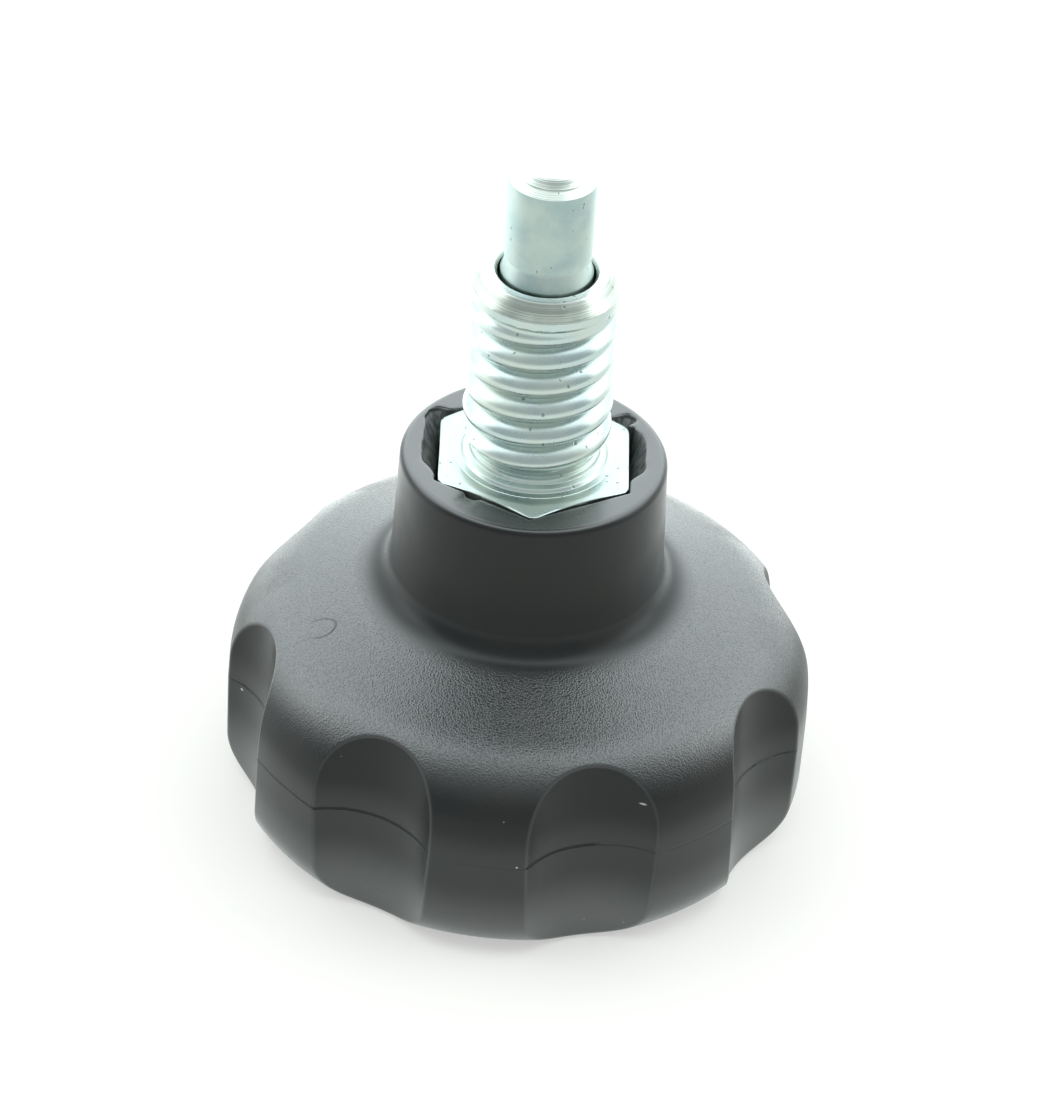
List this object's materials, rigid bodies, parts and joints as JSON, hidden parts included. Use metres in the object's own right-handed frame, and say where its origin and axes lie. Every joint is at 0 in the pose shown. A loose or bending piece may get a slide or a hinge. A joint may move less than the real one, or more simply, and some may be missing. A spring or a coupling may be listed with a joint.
{
  "type": "spring pull plunger",
  "caption": "Spring-loaded pull plunger: black lobed hand knob with a hex socket, threaded zinc-plated hex sleeve, and a steel locking pin that the knob draws back.",
  "frame": {"origin": "on the plunger's axis, in the plane of the knob's outer face, which it stands on", "axes": "+Z along the axis from the knob to the pin's nose; -Y towards the camera side"},
  "size_m": [0.0634, 0.0634, 0.0805],
  "materials": {
    "knob_plastic": "fine spark-eroded grain, smooth in the scallops and on the collar",
    "insert_brass": "turned",
    "sleeve_zinc": "bright zinc plating over turned and rolled steel",
    "pin_steel": "zinc-plated shank, bare turned chamfer at the nose",
    "spring_steel": "drawn wire"
  },
  "bodies": {
    "barrel": {"sleeve": "sleeve_zinc", "spring": "spring_steel"},
    "plunger": {"knob": "knob_plastic", "knob_insert": "insert_brass", "pin": "pin_steel"}
  },
  "joints": [
    {"name": "pull", "type": "slide", "parent": "barrel", "child": "plunger", "axis": [0, 0, -1], "range_m": [0, 0.008], "stiffness_N_per_m": 3300, "springref_m": -0.0045, "deforming": ["spring"]}
  ]
}
